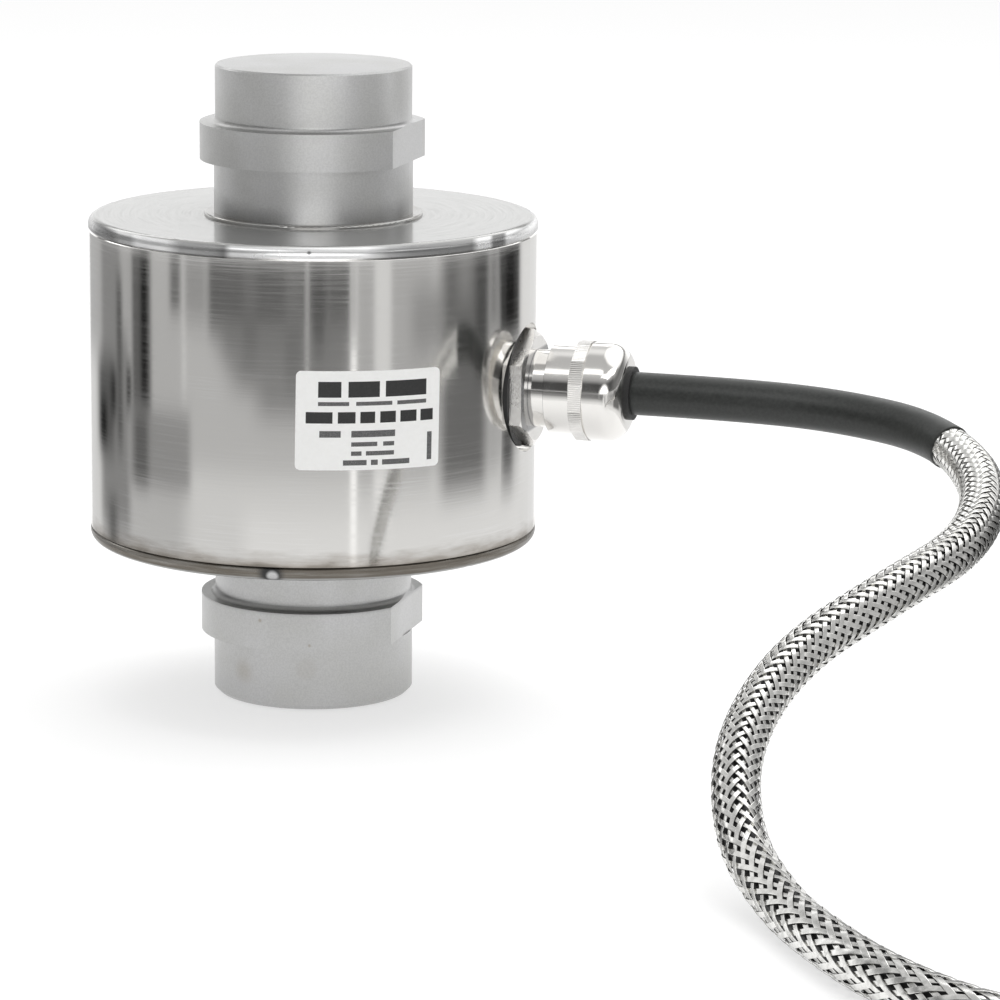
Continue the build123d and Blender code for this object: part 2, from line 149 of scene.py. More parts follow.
class Graph:
    """The nodes of a material or of the world, while they are put together."""

    def __init__(self, tree):
        self.tree = tree

    def node(self, kind, inputs=None, **settings):
        """A new node with its settings, and its inputs either linked or given a value."""
        made = self.tree.nodes.new("ShaderNode" + kind)
        for name, value in settings.items():
            setattr(made, name, value)
        for name, value in (inputs or {}).items():
            if isinstance(value, bpy.types.NodeSocket):
                self.tree.links.new(value, made.inputs[name])
            else:
                made.inputs[name].default_value = value
        return made

    def place(self, x=1.0, y=1.0, z=1.0):
        """Object coordinates in metres, each multiplied by its scale."""
        coords = self.node("TexCoord").outputs["Object"]
        return self.node("Mapping", {"Vector": coords, "Scale": (x, y, z)}).outputs["Vector"]

    def split(self, vector):
        """The x, y and z of a vector."""
        return self.node("SeparateXYZ", {"Vector": vector}).outputs

    def join(self, x, y, z):
        """A vector from its three parts."""
        return self.node("CombineXYZ", {"X": x, "Y": y, "Z": z}).outputs["Vector"]

    def noise(self, vector, scale=1.0, detail=3.0):
        """Noise about one half."""
        return self.node("TexNoise", {"Vector": vector, "Scale": scale, "Detail": detail}).outputs[0]

    def wave(self, scale, direction):
        """Even bands across a direction."""
        inputs = {"Vector": self.place(), "Scale": scale}
        return self.node("TexWave", inputs, bands_direction=direction).outputs["Fac"]

    def math(self, operation, first, second=0.0):
        """One arithmetic step."""
        return self.node("Math", {0: first, 1: second}, operation=operation).outputs[0]

    def times(self, first, second):
        """A product."""
        return self.math("MULTIPLY", first, second)

    def ease(self, value, low, high, start=0.0, end=1.0):
        """A smooth change from start at low to end at high."""
        inputs = {"Value": value, "From Min": low, "From Max": high, "To Min": start, "To Max": end}
        return self.node("MapRange", inputs, interpolation_type="SMOOTHSTEP").outputs[0]

    def vary(self, noise, start=0.0, end=1.0):
        """A smooth change from start to end over a noise's range."""
        return self.ease(noise, *NOISE_RANGE, start, end)

    def band(self, value, low, high, soft):
        """1 between low and high and 0 outside, with soft edges."""
        rise = self.ease(value, low - soft, low + soft)
        fall = self.ease(value, high - soft, high + soft, 1.0, 0.0)
        return self.times(rise, fall)

    def spot(self, centre, radius, soft):
        """1 within a radius of a point of the part, in millimetres, with a soft edge."""
        coords = self.node("TexCoord").outputs["Object"]
        away = self.node("VectorMath", {0: coords, 1: mm(*centre)}, operation="DISTANCE").outputs["Value"]
        return self.ease(away, (radius - soft) * MM, (radius + soft) * MM, 1.0, 0.0)

    def blend(self, share, first, second):
        """A colour between two, each a socket or a colour."""
        mixer = self.node("Mix", {0: share}, data_type="RGBA")
        for index, color in zip(MIX_COLORS, (first, second)):
            if isinstance(color, bpy.types.NodeSocket):
                self.tree.links.new(color, mixer.inputs[index])
            else:
                mixer.inputs[index].default_value = (*color, 1.0)
        return mixer.outputs[MIX_RESULT]

    def ramp(self, value, stops, mode="LINEAR"):
        """A colour read off stops of (place, colour)."""
        made = self.node("ValToRGB", {"Fac": value})
        made.color_ramp.interpolation = mode
        elements = made.color_ramp.elements
        while len(elements) < len(stops):
            elements.new(0.5)
        for element, (at, color) in zip(elements, stops):
            element.position = at
            element.color = (*color, 1.0)
        return made.outputs["Color"]

    def bump(self, height, depth, strength=1.0, under=None):
        """A normal from a height between 0 and 1 that stands for a depth in millimetres."""
        inputs = {"Height": height, "Distance": depth * MM, "Strength": strength}
        if under is not None:
            inputs["Normal"] = under
        return self.node("Bump", inputs).outputs["Normal"]


class Finish(Graph):
    """A material of the part, with plain values on its shader and a graph to refine them."""

    def __init__(self, name, color, metallic=0.0, roughness=0.5):
        self.material = bpy.data.materials.new(name)
        self.material.use_nodes = True
        super().__init__(self.material.node_tree)
        self.shader = self.tree.nodes["Principled BSDF"]
        self.shader.inputs["Base Color"].default_value = (*color, 1.0)
        self.shader.inputs["Metallic"].default_value = metallic
        self.shader.inputs["Roughness"].default_value = roughness

    def wired(self, **sockets):
        """The material, once sockets are linked to the shader's inputs by their names."""
        for name, socket in sockets.items():
            self.tree.links.new(socket, self.shader.inputs[name.replace("_", " ").title()])
        return self.material


def grey(value):
    """A neutral colour."""
    return (value, value, value)


def opaque(value):
    """A neutral colour with its alpha."""
    return (value, value, value, 1.0)


# Finishes

BLASTED = (0.53, 0.53, 0.52)
# Heights of the lower neck's root, where the shade under the housing is painted dark
NECK_ROOT_SHADE = (24.0, 25.6)
# Spots on the column: centre in millimetres, radius, softness and depth of tone
SPOTS = (
    (polar(COLLAR_R, FRONT - 28, 22.2), 0.4, 0.25, 0.7),
    (polar(COLLAR_R, FRONT - 2, 16.9), 0.35, 0.2, 0.6),
    (polar(FOOT_R, FRONT - 4, 10.4), 2.4, 0.8, 0.12),
    (polar(FOOT_R, FRONT - 44, 8.4), 2.2, 1.8, 0.35),
)
POLISHED = (0.72, 0.71, 0.69)
PLATE = (0.46, 0.46, 0.45)
PLATE_GRAZING = 0.75
HEAT_TINT = (0.30, 0.265, 0.225)
BURNT = (0.15, 0.135, 0.115)
NICKEL = (0.80, 0.785, 0.76)
STAIN = (0.34, 0.30, 0.25)


def blasted_steel():
    """The column's bead-blasted steel, with its grain, faint patches, a few spots and painted shade at the
    lower neck's root.
    """
    graph = Finish("blasted_steel", BLASTED, metallic=1.0, roughness=0.38)
    place = graph.place()
    grain = graph.noise(place, scale=2600, detail=2)
    patches = graph.noise(place, scale=70, detail=4)
    tone = graph.blend(graph.vary(patches), grey(0.53), BLASTED)
    tone = graph.blend(graph.vary(grain, 0.0, 0.3), tone, grey(0.34))
    for centre, radius, soft, depth in SPOTS:
        tone = graph.blend(graph.times(graph.spot(centre, radius, soft), depth), tone, STAIN)
    # Painted shade: the neck's root is darkened where the housing shades it
    low, high = NECK_ROOT_SHADE
    root = graph.band(graph.split(place)["Z"], low * MM, high * MM, 0.6 * MM)
    tone = graph.blend(graph.times(root, 0.45), tone, grey(0.2))
    rough = graph.vary(patches, 0.34, 0.42)
    normal = graph.bump(grain, depth=0.035, strength=0.55)
    return graph.wired(base_color=tone, roughness=rough, normal=normal)


def polished_steel():
    """The housing's polished wall, with fine lines round it and heat tint at its lower weld."""
    graph = Finish("polished_steel", POLISHED, metallic=1.0, roughness=0.12)
    place = graph.place()
    lines = graph.noise(graph.place(55, 55, 2600))
    clouds = graph.noise(place, scale=38)
    scratched = graph.times(graph.ease(clouds, 0.35, 0.6), graph.ease(lines, 0.45, 0.75))
    tone = graph.blend(graph.times(scratched, 0.25), POLISHED, grey(0.86))
    # The heat tint ends at a ragged line over the weld
    ragged = graph.times(graph.noise(graph.place(120, 120, 500), detail=4), 5.0 * MM)
    tint_top = graph.math("ADD", ragged, (WALL_BASE - 0.5) * MM)
    above = graph.math("SUBTRACT", graph.split(place)["Z"], tint_top)
    tone = graph.blend(graph.ease(above, -2.4 * MM, 2.4 * MM, 0.8, 0.0), tone, HEAT_TINT)
    tone = graph.blend(graph.ease(above, -3.5 * MM, -0.5 * MM, 0.85, 0.0), tone, BURNT)
    wavy = graph.noise(graph.place(14, 14, 9), detail=2)
    normal = graph.bump(wavy, depth=0.12, strength=0.5)
    normal = graph.bump(lines, depth=0.004, strength=0.5, under=normal)
    rough = graph.ease(lines, 0.3, 0.8, 0.08, 0.14)
    return graph.wired(base_color=tone, roughness=rough, normal=normal)


# Painted reflection tones along the front of the top plate's rim, at sines of the angle from the column's
# front
RIM_REFLECTION_TONES = (
    (-1.0, 0.6), (-0.97, 0.55), (-0.95, 0.2), (-0.87, 0.2), (-0.84, 0.42), (-0.79, 0.5),
    (-0.76, 0.95), (-0.63, 0.92), (-0.57, 0.42), (-0.43, 0.36), (-0.38, 0.22), (-0.35, 0.9),
    (0.22, 0.95), (0.32, 0.42), (0.42, 0.28), (0.68, 0.26), (0.71, 0.9), (0.76, 0.9),
    (0.775, 0.2), (0.825, 0.2), (0.84, 0.85), (1.0, 0.9),
)
# Painted reflection tone of the rim's back half
RIM_BACK_REFLECTION = 0.25


def painted_rim_reflection(graph, x, y):
    """The top plate's rim tone as a painted reflection: light and dark bands along its front, and a darker
    back.
    """
    ahead, aside = (
        graph.math("ADD", graph.times(x, way[0]), graph.times(y, way[1]))
        for way in (polar(1.0, FRONT, 0.0), polar(1.0, FRONT + 90, 0.0))
    )
    across = graph.math("ADD", graph.times(aside, 0.5 / (HOUSING_R * MM)), 0.5)
    bands = graph.ramp(across, [((side + 1) / 2, grey(tone)) for side, tone in RIM_REFLECTION_TONES])
    return graph.blend(graph.ease(ahead, -6 * MM, 4 * MM), grey(RIM_BACK_REFLECTION), bands)


def turned_plate(name, marks, edge=None, rim_w=0.5, metallic=1.0):
    """An end plate of the housing: turning lines, a tinted weld round the column, an edge and its marks.

    A plate without a colour for its edge has painted reflection bands along it.
    """
    graph = Finish(name, PLATE, metallic, roughness=0.16)
    graph.shader.inputs["Specular Tint"].default_value = opaque(PLATE_GRAZING)
    place = graph.place()
    x, y = graph.split(place)[:2]
    radius = graph.math("SQRT", graph.math("ADD", graph.times(x, x), graph.times(y, y)))
    around = graph.math("ARCTAN2", y, x)
    lines = graph.noise(graph.join(graph.times(radius, 2200), graph.times(around, 3), 0.0))
    ring = graph.ease(radius, (NECK_R + 0.4) * MM, (NECK_R + 4.0) * MM, 1.0, 0.0)
    smudge = graph.ease(graph.noise(place, scale=90, detail=4), 0.35, 0.7, 0.1, 0.55)
    tone = graph.blend(graph.times(ring, smudge), PLATE, HEAT_TINT)
    # The edge's tone comes and goes in streaks round the plate
    streaks = graph.ease(graph.noise(graph.place(90, 90, 1400)), 0.3, 0.65, 0.72, 1.0)
    rim_r = HOUSING_R - rim_w
    on_edge = graph.ease(radius, (rim_r - 0.2) * MM, (rim_r + 0.2) * MM)
    # The edge takes its given colour, or on the top plate the painted reflection bands
    tone = graph.blend(graph.times(on_edge, streaks), tone, edge or painted_rim_reflection(graph, x, y))
    for centre, size, soft, color in marks:
        tone = graph.blend(graph.spot(centre, size, soft), tone, color)
    rough = graph.math("ADD", graph.ease(lines, 0.3, 0.8, 0.12, 0.22), graph.times(on_edge, 0.1))
    normal = graph.bump(lines, depth=0.004, strength=0.4)
    return graph.wired(base_color=tone, roughness=rough, normal=normal)


# Details of the gland's plating: the grip's ribs, painted shade on the hexagon's bevel and the joint at the
# nut's skirt
RIBS = 146
BEVEL_X = (HEX_X[1] - 0.65, HEX_X[1] + 0.12)
# How far above and below its axis the hexagon's face has painted shade on its bevel
FACE_SHADE = 9.0
JOINT_X = (SKIRT_X - 0.12, SKIRT_X + 0.04)


def nickel_plate():
    """The gland's bright nickel: ribbed grip, hexagon with matte flats and painted shade on its bevel, dark
    joint.
    """
    graph = Finish("nickel_plate", NICKEL, metallic=1.0, roughness=0.1)
    place = graph.place()
    x, y, z = graph.split(place)
    height = graph.math("SUBTRACT", z, GLAND_Z * MM)
    on_grip, on_hex, on_bevel, on_joint = (
        graph.band(x, low * MM, high * MM, soft * MM)
        for (low, high), soft in ((GRIP_X, 0.08), (HEX_X, 0.1), (BEVEL_X, 0.06), (JOINT_X, 0.04))
    )
    ribs = graph.math("SINE", graph.times(graph.math("ARCTAN2", height, y), RIBS))
    frost = graph.noise(graph.place(3000, 3000, 700))
    smudge = graph.noise(place, scale=220, detail=4)
    normal = graph.bump(graph.times(ribs, on_grip), depth=0.07, strength=0.8)
    normal = graph.bump(graph.times(frost, on_hex), depth=0.09, strength=0.8, under=normal)
    rough = graph.math("ADD", graph.ease(smudge, 0.35, 0.7, 0.07, 0.16), graph.times(on_hex, 0.16))
    level = graph.math("ABSOLUTE", height)
    # Painted shade: the bevel is darkened near the gland's axis and left bright above and below it
    painted_shade = graph.ease(level, (FACE_SHADE - 0.4) * MM, (FACE_SHADE + 0.4) * MM, 0.9, 0.0)
    tone = graph.blend(graph.times(on_bevel, painted_shade), NICKEL, grey(0.22))
    tone = graph.blend(on_joint, tone, grey(0.05))
    return graph.wired(base_color=tone, roughness=rough, normal=normal)


def machined_steel():
    """Turned steel inside the housing."""
    graph = Finish("machined_steel", grey(0.55), metallic=1.0, roughness=0.3)
    lines = graph.noise(graph.place(300, 300, 4000), detail=2)
    normal = graph.bump(lines, depth=0.01, strength=0.5)
    return graph.wired(roughness=graph.vary(lines, 0.22, 0.4), normal=normal)


def plain_matter(name, color, roughness, grain, depth):
    """A moulded or woven material with a grain, so many per metre and so deep in millimetres."""
    graph = Finish(name, color, roughness=roughness)
    texture = graph.noise(graph.place(), scale=grain)
    darker = tuple(value * 0.72 for value in color)
    tone = graph.blend(graph.vary(texture), darker, color)
    rough = graph.vary(texture, roughness - 0.06, roughness + 0.08)
    normal = graph.bump(texture, depth, strength=0.6)
    return graph.wired(base_color=tone, roughness=rough, normal=normal)


def circuit_board():
    """Lacquered board with paler tracks under the lacquer."""
    lacquer, track = (0.02, 0.13, 0.05), (0.05, 0.25, 0.1)
    graph = Finish("circuit_board", lacquer, roughness=0.3)
    inputs = {"Vector": graph.place(), "Scale": 380.0}
    cells = graph.node("TexVoronoi", inputs, feature="DISTANCE_TO_EDGE")
    tracks = graph.ease(cells.outputs["Distance"], 0.03, 0.08, 1.0, 0.0)
    tone = graph.blend(tracks, lacquer, track)
    return graph.wired(base_color=tone, normal=graph.bump(tracks, depth=0.03, strength=0.5))


def banded_resistor():
    """Lacquered resistor bodies with coloured rings near their ends."""
    lacquer, ring = (0.16, 0.36, 0.5), (0.4, 0.06, 0.03)
    graph = Finish("banded_resistor", lacquer, roughness=0.32)
    rings = graph.ease(graph.wave(260.0, "Y"), 0.62, 0.7)
    return graph.wired(base_color=graph.blend(rings, lacquer, ring))


def gauge_foil():
    """Amber gauge film with its grid of foil lines."""
    film, foil = (0.6, 0.32, 0.07), (0.45, 0.4, 0.33)
    graph = Finish("gauge_foil", film, roughness=0.35)
    grid = graph.wave(420.0, "Z")
    tone = graph.blend(graph.ease(grid, 0.45, 0.6), film, foil)
    return graph.wired(base_color=tone, normal=graph.bump(grid, depth=0.02, strength=0.4))


CORE_COLORS = (
    (0.42, 0.03, 0.02), (0.02, 0.02, 0.02), (0.03, 0.2, 0.05),
    (0.6, 0.6, 0.58), (0.03, 0.07, 0.3), (0.55, 0.4, 0.03),
)


def core_insulation():
    """Cores of several colours, one for each wire."""
    graph = Finish("core_insulation", CORE_COLORS[0], roughness=0.35)
    island = graph.node("NewGeometry").outputs["Random Per Island"]
    stops = [(index / len(CORE_COLORS), color) for index, color in enumerate(CORE_COLORS)]
    rough = graph.vary(graph.noise(graph.place(), scale=900, detail=2), 0.3, 0.45)
    return graph.wired(base_color=graph.ramp(island, stops, "CONSTANT"), roughness=rough)


def woven_strap():
    """Dark webbing with its weave."""
    hollow, thread = (0.008, 0.008, 0.009), (0.035, 0.035, 0.038)
    graph = Finish("woven_strap", (0.018, 0.018, 0.02), roughness=0.75)
    across = graph.wave(230.0, "DIAGONAL")
    fuzz = graph.noise(graph.place(), scale=2600, detail=2)
    tone = graph.blend(graph.ease(across, 0.2, 0.9), hollow, thread)
    height = graph.math("ADD", across, graph.times(fuzz, 0.4))
    return graph.wired(base_color=tone, normal=graph.bump(height, depth=0.2, strength=0.7))


def shrunk_sleeve():
    """The black sleeve shrunk on to the cable, faintly uneven and satin."""
    dark, pale = (0.016, 0.018, 0.016), (0.028, 0.03, 0.028)
    graph = Finish("shrunk_sleeve", (0.022, 0.024, 0.022), roughness=0.4)
    texture = graph.noise(graph.place(), scale=1500)
    lumps = graph.noise(graph.place(), scale=130, detail=2)
    tone = graph.blend(graph.ease(texture, 0.3, 0.75), dark, pale)
    normal = graph.bump(lumps, depth=0.35, strength=0.5)
    normal = graph.bump(texture, depth=0.03, strength=0.5, under=normal)
    return graph.wired(base_color=tone, roughness=graph.vary(texture, 0.34, 0.46), normal=normal)


def braid_wire():
    """Bright steel wire of the braid, a little duller here and there."""
    bright, dull = (0.86, 0.855, 0.83), (0.66, 0.655, 0.635)
    graph = Finish("braid_wire", grey(0.8), metallic=1.0, roughness=0.2)
    patches = graph.noise(graph.place(), scale=500)
    tone = graph.blend(graph.ease(patches, 0.35, 0.7), bright, dull)
    return graph.wired(base_color=tone, roughness=graph.vary(patches, 0.16, 0.27))


def label_paper():
    """The label's white film."""
    dull, bright = (0.945, 0.945, 0.93), (0.97, 0.97, 0.955)
    graph = Finish("label_paper", grey(0.96), roughness=0.42)
    texture = graph.noise(graph.place(), scale=900)
    return graph.wired(base_color=graph.blend(graph.vary(texture), dull, bright))


def ink(name, value):
    """Printing ink of one tone, a little uneven."""
    graph = Finish(name, grey(value))
    speckle = graph.ease(graph.noise(graph.place(), scale=5000, detail=2), 0.4, 0.75)
    return graph.wired(base_color=graph.blend(speckle, grey(value), grey(value * 2.2)))


# Marks on the plates' edges: centre in millimetres, radius, softness and colour
SEAM_NICK = ((polar(HOUSING_R, FRONT - 1.1, 113.0), 0.45, 0.3, grey(0.2)),)
WELD_BEAD = (
    (polar(HOUSING_R, FRONT - 10.6, 39.6), 2.6, 1.2, grey(0.05)),
    (polar(HOUSING_R, FRONT - 10.2, 39.0), 1.3, 0.5, grey(0.5)),
)
black_rubber = plain_matter("black_rubber", grey(0.018), roughness=0.55, grain=1400, depth=0.03)
braid_steel = braid_wire()
sleeve_black = shrunk_sleeve()
jacket_black = plain_matter("jacket_black", grey(0.012), roughness=0.5, grain=900, depth=0.03)
nickel = nickel_plate()
inner_steel = machined_steel()
cores = core_insulation()

FINISHES = {
    "column": blasted_steel(),
    "housing_tube": polished_steel(),
    "top_plate": turned_plate("top_plate_steel", SEAM_NICK, rim_w=0.9, metallic=0.7),
    "bottom_plate": turned_plate("bottom_plate_steel", WELD_BEAD, edge=BURNT),
    "gland_boss": inner_steel,
    "gland_gasket": black_rubber,
    "gland_adapter": nickel,
    "gland_o_ring": black_rubber,
    "gland_nut": nickel,
    "gland_cage": plain_matter("cage_plastic", (0.62, 0.62, 0.6), roughness=0.5, grain=500, depth=0.02),
    "gland_seal": black_rubber,
    "strain_gauges": gauge_foil(),
    "gauge_terminals": plain_matter(
        "solder_strip", (0.5, 0.46, 0.38), roughness=0.35, grain=1800, depth=0.04
    ),
    "gauge_leads": cores,
    "bridge_board": circuit_board(),
    "board_standoffs": inner_steel,
    "board_screws": inner_steel,
    "trim_resistors": banded_resistor(),
    "terminal_block": plain_matter("block_plastic", (0.05, 0.2, 0.08), roughness=0.45, grain=700, depth=0.03),
    "core_wires": cores,
    "coil_tie": woven_strap(),
    "end_sleeve": sleeve_black,
    "end_cores": cores,
}
for node, material in FINISHES.items():
    mesh = bpy.data.objects[node].data
    mesh.materials.clear()
    mesh.materials.append(material)


# Meshes


def put(data, material):
    """A piece that rides on the part's one body."""
    made = link_object(data, material)
    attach(made, BODY)
    return made


def put_on_cable(data, material):
    """A piece of the cable that goes with its core."""
    made = link_object(data, material)
    made.parent = core
    return made


def make_mesh(name, points, faces, soft=True):
    """A mesh from points in millimetres and its faces."""
    mesh = bpy.data.meshes.new(name)
    mesh.from_pydata((np.asarray(points, float).reshape(-1, 3) * MM).tolist(), [], faces)
    mesh.update()
    if soft:
        mesh.polygons.foreach_set("use_smooth", [True] * len(mesh.polygons))
    return mesh


def strip_faces(start, rows, columns, closed=False):
    """The quads of a grid of points held row by row, closed across where asked."""
    grid = start + np.arange(rows * columns).reshape(rows, columns)
    if closed:
        grid = np.hstack([grid, grid[:, :1]])
    corners = (grid[:-1, :-1], grid[:-1, 1:], grid[1:, 1:], grid[1:, :-1])
    return np.stack(corners, -1).reshape(-1, 4).tolist()


# Cord: its route, the coil and the free end

ROUTE = [
    (EXIT_X, 0.0, GLAND_Z),
    (100.0, 0.0, GLAND_Z),
    (125.7, 2.0, 74.6),
    (150.6, -9.1, 72.7),
    (165.8, -31.0, 66.2),
    (166.8, -57.3, 58.4),
    (153.5, -81.3, 52.1),
    (135.7, -96.3, 40.5),
    (128.8, -116.6, 26.1),
    (134.3, -137.3, 12.0),
    (146.8, -155.2, 5.2),
    (158.6, -174.4, 5.2),
    (173.6, -194.2, 5.2),
    (192.5, -211.5, 5.2),
    (215.2, -222.1, 5.2),
]
ENTRY_L = 47.0
TURN_R = 63.15
COLUMNS = 4
LAYERS = 3
TURN_POINTS = 16
RISE_BULGE = 4.2
TAIL_Z = 37.4
TAIL_START = 150.0
TAIL_END = 222.0
# Shares of the tail's climb: where it has reached its height, and where it starts to cross the turns
RISEN = 0.5
CROSSING = 0.42
CURVE_STEPS = 12


def coil_frame():
    """Centre of the coil and the angle at which the cable meets its outer turn."""
    before = Vector(ROUTE[-2])
    last = Vector(ROUTE[-1])
    heading = (last - before).normalized()
    touch = last + heading * ENTRY_L
    outward = Vector((heading.y, -heading.x, 0))
    centre = touch - outward * OUTER_R
    return centre, degrees(atan2(outward.y, outward.x)) % 360


HALF_BUILD = CABLE_D * (COLUMNS - 1) / 2
OUTER_R = TURN_R + HALF_BUILD
INNER_R = TURN_R - HALF_BUILD
COIL_CENTRE, COIL_ANGLE = coil_frame()
# A quadratic spline round a polygon runs at this share of its corners' radius
SPLINE_CUT = cos(pi / TURN_POINTS)


def coil_point(radius, z, angle):
    """A point of the coil at a radius, a height and an angle in degrees."""
    x = COIL_CENTRE.x + radius * cos(radians(angle))
    y = COIL_CENTRE.y + radius * sin(radians(angle))
    return (x, y, z)


def winding(turns):
    """Radius and height of the wound cable, so many turns after it meets the coil."""
    low, mid, high = (CABLE_D * (layer + 0.5) for layer in range(LAYERS))
    inward = COLUMNS - 1
    if turns <= inward:
        return OUTER_R - CABLE_D * turns, low
    if turns <= inward + 1:
        share = turns - inward
        return INNER_R - RISE_BULGE * sin(pi * share), low + CABLE_D * smooth(0, 1, share)
    if turns <= 2 * inward + 1:
        return INNER_R + CABLE_D * (turns - inward - 1), mid
    if turns <= 2 * inward + 2:
        share = turns - 2 * inward - 1
        return OUTER_R + RISE_BULGE * sin(pi * share), mid + CABLE_D * smooth(0, 1, share)
    return OUTER_R - CABLE_D * (turns - 2 * inward - 2), high


def coil_points():
    """The wound turns of the cord, from the coil's outer turn to the inside of its top layer."""
    total = LAYERS * COLUMNS - 1
    points = []
    for index in range(total * TURN_POINTS + 1):
        turns = index / TURN_POINTS
        radius, z = winding(turns)
        points.append(coil_point(radius / SPLINE_CUT, z, COIL_ANGLE + 360 * turns))
    return points


def tail_points():
    """The free end: up inside the coil, over its top layer and along it."""
    top = CABLE_D * (LAYERS - 0.5)
    step = 360 / TURN_POINTS
    climb = TAIL_START + 360 - COIL_ANGLE
    last = TAIL_END + 360 - COIL_ANGLE
    points = []
    angle = step
    while angle < last:
        share = angle / climb
        z = top + (TAIL_Z - top) * smooth(0, RISEN, share)
        radius = INNER_R - RISE_BULGE * sin(pi * min(share / RISEN, 1.0))
        radius += (TURN_R - INNER_R) * smooth(CROSSING, 1.0, share)
        points.append(coil_point(radius / SPLINE_CUT, z, COIL_ANGLE + angle))
        angle += step
    points.append(coil_point(TURN_R, TAIL_Z, TAIL_END))
    return points


def make_spline(name, points):
    """A NURBS curve with these points, in millimetres, as its control points."""
    curve = bpy.data.curves.new(name, "CURVE")
    curve.dimensions = "3D"
    spline = curve.splines.new("NURBS")
    spline.points.add(len(points) - 1)
    for point, place in zip(spline.points, points):
        point.co = (*mm(*place), 1.0)
    spline.order_u = 3
    spline.use_endpoint_u = True
    curve.resolution_u = CURVE_STEPS
    spline.resolution_u = CURVE_STEPS
    curve.twist_mode = "MINIMUM"
    return curve


CORE_R = 4.2
CORE_ROUNDING = 3
core_curve = make_spline("cable_core", ROUTE + coil_points() + tail_points())
flat_line = bpy.data.meshes.new_from_object(bpy.data.objects.new("line", core_curve))
LINE = np.array([vertex.co for vertex in flat_line.vertices]) / MM
core_curve.bevel_depth = CORE_R * MM
core_curve.bevel_resolution = CORE_ROUNDING
core_curve.use_fill_caps = True
core = put(core_curve, jacket_black)
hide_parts("cable", "cable_coil", "cable_tail")


# Line of the cord with a frame carried along it without twist


def carried_frames(points):
    """Distances along a line of points, with its tangents and the normals carried along it."""
    steps = np.diff(points, axis=0)
    along = np.concatenate([[0.0], np.cumsum(np.linalg.norm(steps, axis=1))])
    tangents = unit(np.vstack([steps[:1], steps[:-1] + steps[1:], steps[-1:]]))
    normals = [np.array([0.0, 0.0, 1.0])]
    for tangent in tangents:
        normals.append(unit(normals[-1] - dot(normals[-1], tangent) * tangent))
    return along, tangents, np.array(normals[1:])


ALONG, TANGENTS, NORMALS = carried_frames(LINE)
LENGTH = ALONG[-1]


def at_distance(distance):
    """Centre, normal and binormal of the cord at distances from the gland, of any shape."""
    centre, tangent, normal = (
        np.stack([np.interp(distance, ALONG, values[:, axis]) for axis in range(3)], -1)
        for values in (LINE, TANGENTS, NORMALS)
    )
    before = np.minimum(distance, 0.0)
    centre = centre + before[..., None] * TANGENTS[0]
    tangent = unit(tangent)
    normal = unit(normal - dot(normal, tangent) * tangent)
    return centre, normal, np.cross(tangent, normal)


def cord_tube(name, profile, sides):
    """A tube round the cord through a profile of (distance from the gland, radius)."""
    distance = np.array([point[0] for point in profile])
    radius = np.array([point[1] for point in profile])
    turn = np.linspace(0, 2 * pi, sides, endpoint=False)
    centre, normal, binormal = at_distance(distance)
    out = np.cos(turn)[None, :, None] * normal[:, None] + np.sin(turn)[None, :, None] * binormal[:, None]
    points = centre[:, None] + radius[:, None, None] * out
    return make_mesh(name, points, strip_faces(0, len(profile), sides, closed=True))


# Black sleeve and the jacket inside the gland

SLEEVE_END = 81.3
SLEEVE_FLARE = 0.12
SLEEVE_RIM = 0.75
SLEEVE_BORE = 4.35
SLEEVE_STEP = 1.5
SLEEVE_SIDES = 48
# How far from the sleeve's end its flare starts, and how deep its bore is made
FLARE_L = 2.5
BORE_L = 3.0
RIM_POINTS = 9


def sleeve_profile():
    """The sleeve's outside, its thick end, a little flared, and the start of its bore."""
    start = CAGE_X - EXIT_X
    radius = SLEEVE_D / 2
    outside = [(distance, radius) for distance in np.arange(start, SLEEVE_END - FLARE_L, SLEEVE_STEP)]
    rim = []
    for angle in np.linspace(0, pi, RIM_POINTS):
        step = SLEEVE_RIM / 2 * (1 - cos(angle))
        rim.append((SLEEVE_END - SLEEVE_RIM / 2 * (1 - sin(angle)), radius + SLEEVE_FLARE - step))
    return outside + rim + [(SLEEVE_END - BORE_L, SLEEVE_BORE)]


sleeve_mesh = cord_tube("heat_shrink_sleeve", sleeve_profile(), SLEEVE_SIDES)
sleeve = put_on_cable(sleeve_mesh, sleeve_black)
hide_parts("cable_sleeve")
# The jacket from its cut end in the housing to just past the gland
JACKET_SIDES = 36
JACKET_STUB = [(JACKET_X - EXIT_X, 0.0), (JACKET_X - EXIT_X, JACKET_D / 2), (0.5, JACKET_D / 2)]
stub_mesh = cord_tube("jacket_stub", JACKET_STUB, JACKET_SIDES)
stub = put_on_cable(stub_mesh, jacket_black)
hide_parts("cable_jacket")


# Wire braid

CARRIERS = 12
# Width of a strand's ribbon, at distances from the gland: packed under the sleeve, open past it
RIBBON_AT = (79.0, 100.0, 130.0, 205.0, 285.0)
RIBBON_W = (1.55, 1.4, 0.95, 0.92, 1.25)
WIRES = 4
WIRE_RISE = 0.09
WEAVE_RISE = 0.22
# How far the weave's wave is stretched before its tops and hollows are cut flat
WEAVE_STRETCH = 1.4
# Points of a strand between two crossings, on the open stretch and on the coil
RUN_POINTS = 3.5
COIL_POINTS = 2.5
# Distances from the gland: under the sleeve, where plain ribbons take over, and in the end sleeve
BRAID_START = 79.0
BRAID_BREAK = 385.0
BRAID_END = LENGTH - 24.0
# Lay of the braid: millimetres along the cable for one turn of a strand, at distances from the gland
LAY_AT = (0.0, 175.0, 202.0, 221.0, 231.0, 260.0, 285.0, 306.0, 400.0, 450.0)
LAY_LENGTH = (27.5, 29.0, 32.0, 43.0, 52.0, 72.0, 84.0, 74.0, 74.0, 56.0)
